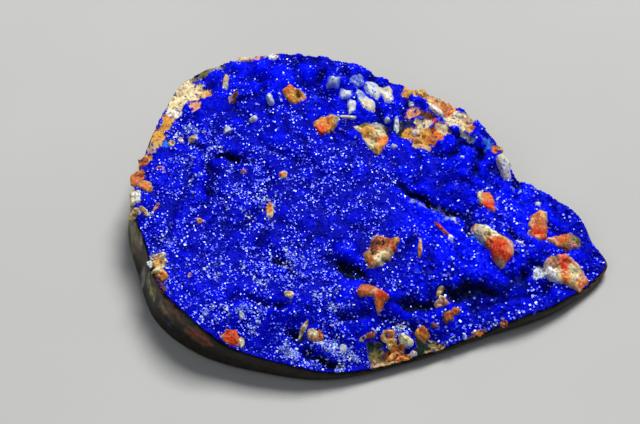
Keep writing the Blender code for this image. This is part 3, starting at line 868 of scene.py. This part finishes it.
# Plain chips: x, y, half-length, half-width, turn in degrees, height, middle, rim
PLAIN_CHIPS = (
    (-8.3, 9.2, 0.95, 0.65, 14, 0.4, "ochre", "orange"),
    (-13.9, 8.7, 0.9, 0.25, -75, 0.25, "grey", "tan"), (-13.0, 7.5, 0.6, 0.24, 69, 0.25, "brown", "tan"),
    (-16.7, 2.4, 0.3, 0.26, 20, 0.25, "tan", "cream"), (-16.1, 2.9, 0.3, 0.28, 0, 0.25, "pink", "white"),
    (-15.2, 3.1, 0.45, 0.3, 40, 0.3, "tan", "white"), (-7.4, 1.8, 0.4, 0.32, 50, 0.3, "orange", "cream"),
    (-10.5, 1.2, 0.25, 0.15, 20, 0.2, "pink", "peach"),
    (-7.7, -1.5, 0.7, 0.32, -80, 0.3, "orange", "cream"),
    (-12.7, -3.9, 0.35, 0.24, 14, 0.25, "red", "peach"),
    (-12.3, -8.7, 0.28, 0.12, 80, 0.2, "pink", "peach"),
    (-4.4, -8.3, 0.55, 0.28, -25, 0.3, "tan", "cream"),
    (-2.7, -10.5, 0.75, 0.25, 75, 0.45, "tan", "cream"),
    (-1.8, -10.7, 0.45, 0.45, 0, 0.5, "cream", "peach"),
    (-1.3, -10.6, 0.24, 0.4, 20, 0.45, "orange", "red"),
    (-7.9, -12.5, 0.85, 0.5, 2, 0.35, "red", "orange"),
    (-7.1, -12.6, 0.24, 0.38, 30, 0.32, "cream", "white"),
    (4.6, -2.0, 0.85, 0.22, 100, 0.3, "orange", "tan"), (5.9, 0.2, 0.85, 0.18, -22, 0.3, "red", "tan"),
    (6.9, -4.7, 0.6, 0.22, 75, 0.35, "tan", "olive"), (7.2, -5.4, 0.5, 0.42, 0, 0.4, "peach", "cream"),
    (7.9, -6.2, 0.42, 0.36, 30, 0.35, "orange", "brown"),
    (8.3, -5.7, 0.25, 0.4, -45, 0.3, "clay", "brown"), (7.0, -7.0, 0.4, 0.2, 14, 0.25, "clay", "brown"),
    (6.2, -7.8, 0.5, 0.48, 14, 0.45, "orange", "ochre"),
    (3.7, -8.8, 0.55, 0.5, 20, 0.5, "orange", "cream"), (4.1, -9.2, 0.45, 0.4, 10, 0.5, "ochre", "cream"),
    (5.1, -8.7, 0.6, 0.36, -10, 0.45, "cream", "white"),
    (4.7, -9.4, 0.6, 0.4, 30, 0.4, "orange", "peach"),
    (4.4, -10.0, 0.5, 0.3, 60, 0.35, "ochre", "orange"),
    (5.2, -9.8, 0.52, 0.28, 25, 0.22, "ochre", "orange"),
    (5.9, -9.4, 0.3, 0.2, 14, 0.35, "white", "cream"), (1.9, -9.6, 0.32, 0.2, 40, 0.25, "tan", "cream"),
    (2.4, -9.2, 0.45, 0.18, 30, 0.2, "rust", "brown"), (7.3, -8.2, 0.55, 0.28, -12, 0.22, "olive", "tan"),
    (-17.7, -2.0, 0.85, 0.48, -20, 0.35, "orange", "tan"),
    (-18.5, -1.2, 0.75, 0.5, 70, 0.25, "clay", "orange"),
    (-18.4, 0.2, 0.65, 0.42, 80, 0.35, "rust", "peach"),
    (-18.2, -3.1, 0.7, 0.5, 80, 0.25, "white", "cream"),
    (-17.9, -4.4, 0.6, 0.36, 80, 0.22, "olive", "tan"),
    (-17.3, -4.0, 0.5, 0.18, -30, 0.3, "tan", "cream"),
    (-16.7, -4.3, 0.4, 0.18, 5, 0.3, "white", "peach"),
    (-16.4, -3.6, 0.45, 0.14, 70, 0.28, "pink", "peach"),
    (-17.1, -0.1, 0.45, 0.12, 30, 0.2, "pink", "rust"),
    (-16.6, -0.3, 0.3, 0.12, -50, 0.2, "pink", "peach"),
    (-15.1, -7.6, 0.52, 0.3, 20, 0.35, "peach", "white"),
    (-14.9, -8.1, 0.65, 0.42, 30, 0.35, "ochre", "cream"),
    (-15.5, -8.4, 0.4, 0.28, 60, 0.25, "ice", "moss"),
    (-14.3, -9.2, 0.36, 0.56, 20, 0.32, "orange", "ochre"),
    (2.9, 10.6, 0.9, 0.38, -37, 0.5, "white", "cream"),
    (4.7, 10.8, 0.5, 0.36, -20, 0.35, "white", "cream"),
    (3.8, 11.2, 0.65, 0.42, -30, 0.3, "peach", "orange"),
    (2.7, 11.5, 0.75, 0.42, -20, 0.3, "tan", "peach"), (1.5, 11.8, 0.6, 0.35, -10, 0.25, "tan", "ochre"),
    (1.8, 8.3, 0.3, 0.28, 0, 0.3, "white", "black"), (2.2, 7.6, 0.35, 0.3, 0, 0.25, "ochre", "orange"),
    (3.4, 8.1, 0.5, 0.38, 40, 0.3, "orange", "peach"), (0.9, 10.7, 0.25, 0.25, 0, 0.3, "ice", "grey"),
    (6.1, 9.9, 0.3, 0.22, -30, 0.25, "orange", "tan"), (8.5, 8.7, 0.32, 0.24, 0, 0.25, "clay", "tan"),
    (10.4, -6.4, 0.55, 0.24, 32, 0.18, "orange", "ochre"),
    (12.2, -5.3, 0.34, 0.2, 32, 0.18, "clay", "brown"), (12.6, 2.0, 0.3, 0.3, 0, 0.25, "tan", "cream"),
    (12.0, 1.0, 0.3, 0.26, 0, 0.25, "ice", "white"), (6.7, -0.3, 0.35, 0.22, -40, 0.25, "white", "ice"),
    (-14.8, -8.7, 0.55, 0.35, 50, 0.35, "cream", "tan"),
)
# White crystals: x, y, half-length, half-width, turn in degrees, height, middle, rim
WHITE_CRYSTALS = (
    (-5.5, 11.2, 0.75, 0.4, 40, 0.4, "ice", "mist"), (-4.5, 10.4, 0.6, 0.45, 20, 0.45, "white", "mist"),
    (-3.8, 11.7, 0.6, 0.5, 0, 0.35, "mist", "mist"), (-3.7, 9.2, 0.95, 0.42, -65, 0.45, "white", "ice"),
    (-2.6, 9.7, 0.8, 0.5, -50, 0.5, "cream", "white"), (-3.3, 10.6, 0.8, 0.34, -50, 0.35, "ice", "mist"),
    (-2.4, 11.2, 1.05, 0.62, -50, 0.6, "white", "ice"),
    (-1.2, 11.0, 1.15, 0.6, -48, 0.6, "white", "cream"), (0.1, 8.8, 0.7, 0.24, -76, 0.4, "white", "ice"),
    (-0.6, 8.9, 0.32, 0.24, 14, 0.35, "ice", "mist"), (0.4, 6.5, 0.3, 0.16, 14, 0.3, "ice", "white"),
    (-3.6, 8.1, 0.9, 0.16, 12, 0.35, "white", "cream"),
    (-10.1, 8.0, 0.55, 0.38, -60, 0.5, "white", "ice"), (-11.0, 6.0, 0.36, 0.32, 0, 0.45, "white", "ice"),
    (-12.7, 4.6, 0.4, 0.34, 60, 0.3, "ice", "grey"), (-12.8, 11.5, 0.7, 0.38, 15, 0.35, "cream", "peach"),
    (-11.0, 12.1, 0.48, 0.4, 40, 0.4, "white", "cream"),
    (9.2, 7.3, 1.05, 0.66, -58, 0.75, "white", "cream"), (10.7, 6.1, 0.6, 0.3, -20, 0.35, "ice", "mist"),
    (6.0, 6.6, 0.24, 0.22, 0, 0.3, "white", "ice"), (12.6, 5.2, 0.28, 0.24, 0, 0.3, "white", "ice"),
    (-7.6, -10.8, 0.22, 0.32, 0, 0.35, "white", "ice"),
    (-1.0, -11.0, 0.42, 0.24, 10, 0.3, "ice", "white"), (0.6, -10.7, 0.34, 0.28, 60, 0.3, "ice", "white"),
)


def plain_outline(half_length, half_width, turn, seed, rough, corners):
    """A ring of corners round an ellipse, each shaken round it by up to a quarter of a radian and in
    or out by up to rough."""
    rng = np.random.default_rng(seed)
    angle = np.linspace(0, 2 * math.pi, corners, endpoint=False) + rng.uniform(-0.25, 0.25, corners)
    shake = 1.05 + rng.uniform(-rough, rough, corners)
    return np.stack(along_across(
        half_length * np.cos(angle) * shake, half_width * np.sin(angle) * shake, -turn), -1)


def straight_sides(corners, steps=10):
    """Points along the straight sides from corner to corner."""
    t = (np.arange(steps) / steps)[None, :, None]
    return (corners[:, None] * (1 - t) + np.roll(corners, -1, 0)[:, None] * t).reshape(-1, 2)


def chip_surface(place, outline, height, flatness, rough, sides, rings, seed):
    """One chip, closed. Its rings shrink from the outline to the middle, and rise above the crust by
    height times one less share to the power flatness, plus noise and a slant; a last ring dips into
    the crust. Returns points, faces, the faces' places on a disc, share, and how far noise raises each."""
    angle = np.linspace(-math.pi, math.pi, sides, endpoint=False)
    outline = straight_sides(np.asarray(outline, float))
    reach = np.hypot(*outline.T)
    edge = np.interp(angle, np.arctan2(*outline.T[::-1]), reach, period=2 * math.pi)
    share = np.append(np.linspace(0.12, 1.0, rings) ** 0.8, 1.0)[:, None]
    x, y = place[0] + share * edge * np.cos(angle), place[1] + share * edge * np.sin(angle)
    ragged = layered(x, y, (1.0, 0.35, seed + 2), (0.6, 0.15, seed + 3))
    out = share * edge + share**2 * np.minimum(0.2 * edge, 0.09) * ragged
    x, y = place[0] + out * np.cos(angle), place[1] + out * np.sin(angle)
    bumps = rough * layered(x, y, (1.0, 0.5, seed), (0.6, 0.2, seed + 1))
    slant = np.random.default_rng(seed).uniform(-0.12, 0.12, 2)
    z = crust_height(x, y) + height * (1 - share**flatness) + bumps * (1.15 - share)
    z = z + (slant[0] * (x - place[0]) + slant[1] * (y - place[1])) * (1 - share**4)
    z[-1] -= 0.3 + height * 0.3
    middle = ((*place, z[0].mean() + 0.01), (*place, z[-1].mean() - 0.1))
    points = np.concatenate((np.stack((x, y, z), -1).reshape(-1, 3), middle))
    index = np.arange(share.size * sides).reshape(share.size, sides)
    after = np.roll(index, -1, 1)
    sheet = np.stack((index[1:], after[1:], after[:-1], index[:-1]), -1).reshape(-1, 4)
    halves = np.concatenate((sheet[:, (0, 1, 2)], sheet[:, (0, 2, 3)]))
    cap = np.stack((index[0], after[0], np.full(sides, len(points) - 2)), -1)
    base = np.stack((after[-1], index[-1], np.full(sides, len(points) - 1)), -1)
    ring = np.linspace(0.1, 1, rings + 1)[:, None]
    disc = np.stack((ring * np.cos(angle), ring * np.sin(angle)), -1).reshape(-1, 2)
    disc = np.concatenate((disc, [(0, 0), (0, 0)]))
    faces = np.concatenate((halves, cap, base))
    places = disc[faces]
    places[-sides:] = places[-sides:] * 0.02 + 0.97
    ring_share = np.append(np.repeat(share, sides), (0.0, 1.0))
    return points, faces, places * 0.47 + 0.5, ring_share, np.append(bumps, (0.0, 0.0))


def spot_colours(points, place, spots, seed):
    """Mean of the spots' colours, each weighed by exp of minus the square of distance over reach,
    with places shaken by noise so that one colour breaks into the next."""
    x, y = points[:, 0] - place[0], points[:, 1] - place[1]
    x = x + 0.16 * net_noise(points[:, 0], points[:, 1], 0.3, seed)
    y = y + 0.16 * net_noise(points[:, 0], points[:, 1], 0.3, seed + 1)
    colours = np.array([ROCK[name] for name, *_ in spots])
    at = np.array([spot[1:] for spot in spots])
    away = ((x[:, None] - at[:, 0]) ** 2 + (y[:, None] - at[:, 1]) ** 2) / at[:, 2] ** 2
    weight = np.exp(-1.6 * away) + 1e-9 / (1 + away)
    return weight @ colours / weight.sum(1)[:, None]


def rim_colours(points, share, middle, rim, seed):
    """The middle's colour, turning into the rim's in broken patches towards the edge."""
    ragged = 0.6 * net_noise(points[:, 0], points[:, 1], 0.3, seed)
    weight = smooth_step(share + ragged, 0.5, 0.95)[:, None]
    return np.array(ROCK[middle]) * (1 - weight) + np.array(ROCK[rim]) * weight


def with_painted_relief_light(surface, colours):
    """Painted light and shade: colours times one plus three times the height of the bump, so that pits
    are painted darker and raised grains lighter.
    """
    return np.clip(colours * np.clip(1 + 3 * surface[4], 0.12, 1.4)[:, None], 0, 0.9)


def chips_piece(name, chips, material):
    """Joins chips, each given as its surface and its colours, into one piece. On the map each has a
    square of its own."""
    points = np.concatenate([surface[0] for surface, _ in chips])
    starts = np.cumsum([0] + [len(surface[0]) for surface, _ in chips])
    faces = np.concatenate([surface[1] + start for (surface, _), start in zip(chips, starts)])
    across = math.ceil(math.sqrt(len(chips)))
    places = [(surface[2] + (k % across, k // across)) / across for k, (surface, _) in enumerate(chips)]
    piece = new_mesh_object(name, points, (faces,), material, False)
    point_colours(piece, "rock", np.concatenate([colours for _, colours in chips]))
    lay_out(piece, np.concatenate([p.reshape(-1, 2) for p in places]))
    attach(piece, ROOT)
    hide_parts(STONE)


def chip_material():
    """Broken rock: each chip's colours, clouded, with pale specks and dark brown specks painted as the
    shade in small pits.
    """
    n = Nodes("rock_chip")
    colour = n.clouded(
        "rock", 4.0, 4.0, (0.35, (0.5, 0.4, 0.3)), (0.5, (1, 1, 1)), (0.7, (1.15, 1.2, 1.3)))
    colour = n.specks(colour, n.noise(5.0, 2.0), 0.6, 0.64, 0.35, (0.86, 0.66, 0.42))
    # Dark specks painted as the shade in small pits
    pit_shade = n.sum(1.0, n.noise(6.5, 2.0), -1.0)
    colour = n.specks(colour, pit_shade, 0.62, 0.66, 0.75, (0.05, 0.018, 0.01))
    n.bump(10.0, 3.0, 0.03, 0.5)
    return n.finish(colour, n.sum(0.35, n.noise(5.0), 0.3), 0.3)


def white_crystal_material():
    """Milky white crystal, clouded, with a glassy face and grains of blue on it."""
    n = Nodes("white_crystal")
    colour = n.clouded("rock", 1.5, 4.0, (0.3, (0.75, 0.8, 0.9)), (0.7, (1.05, 1.05, 1.05)))
    colour = n.specks(colour, n.noise(2.6), 0.6, 0.63, 0.85, (0.01, 0.015, 0.5))
    return n.finish(colour, n.sum(0.15, n.noise(4.0), 0.2), 0.5)


def plain_chips(rows, seed, ragged, corners, flatness, rough, sides, rings):
    """The surface and colours of each chip in a table."""
    for k, (x, y, half_length, half_width, turn, height, middle, rim) in enumerate(rows, seed):
        outline = plain_outline(half_length, half_width, turn, k, ragged, corners)
        surface = chip_surface((x, y), outline, 0.7 * height, flatness, rough, sides, rings, 100 + k)
        yield surface, rim_colours(surface[0], surface[3], middle, rim, 200 + k)


chips = []
for k, (place, height, flatness, rough, outline, spots) in enumerate(SHAPED_CHIPS):
    surface = chip_surface(place, outline, height, flatness, rough, 56, 16, 200 + 2 * k)
    chips.append((surface, spot_colours(surface[0], place, spots, 230 + 2 * k)))
chips += plain_chips(PLAIN_CHIPS, 300, ragged=0.28, corners=9, flatness=6, rough=0.22, sides=30, rings=8)
# Painted shade in each chip's pits and painted light on its raised grains
chips = [(surface, with_painted_relief_light(surface, colours)) for surface, colours in chips]
chips_piece("rock_chips", chips, chip_material())
whites = plain_chips(WHITE_CRYSTALS, 600, ragged=0.34, corners=7, flatness=4, rough=0.16, sides=20, rings=5)
chips_piece("white_crystals", list(whites), white_crystal_material())

# ----------------------------------------
# Table and light. A pale table, one large soft lamp high behind the slab, and a weak fill.


def lamp(name, turn, height, distance, size, power, colour):
    """A square soft lamp that faces the slab's middle."""
    light = bpy.data.lights.new(name, "AREA")
    light.shape = "SQUARE"
    light.size = size
    light.energy = power
    light.color = colour
    made = bpy.data.objects.new(name, light)
    a, e = math.radians(turn), math.radians(height)
    made.location = (distance * math.sin(a) * math.cos(e), -distance * math.cos(a) * math.cos(e),
                     distance * math.sin(e))
    made.rotation_euler = (math.pi / 2 - e, 0.0, a)
    bpy.context.scene.collection.objects.link(made)


lamp("key", turn=169, height=60, distance=0.60, size=0.22, power=3.9, colour=(1.0, 0.99, 0.97))
lamp("fill", turn=-46, height=60, distance=0.80, size=0.50, power=0.7, colour=(0.95, 0.97, 1.0))

world = bpy.data.worlds.new("room")
world.use_nodes = True
sky = world.node_tree.nodes["Background"]
sky.inputs["Color"].default_value = (0.85, 0.9, 1.0, 1.0)
sky.inputs["Strength"].default_value = 0.13
bpy.context.scene.world = world
bpy.context.scene.view_settings.view_transform = "Standard"


def table_material():
    """Matt pale grey."""
    n = Nodes("pale_table")
    colour = n.ramp(n.noise(0.02), (0.3, (0.5, 0.5, 0.49)), (0.7, (0.55, 0.55, 0.54)))
    return n.finish(colour, 0.7, 0.2)


TABLE_HALF = 600.0
table = new_mesh_object(
    "table",
    np.array(((-1, -1, 0), (1, -1, 0), (1, 1, 0), (-1, 1, 0)), float) * TABLE_HALF,
    (np.array(((0, 1, 2, 3),)),),
    table_material(), False)
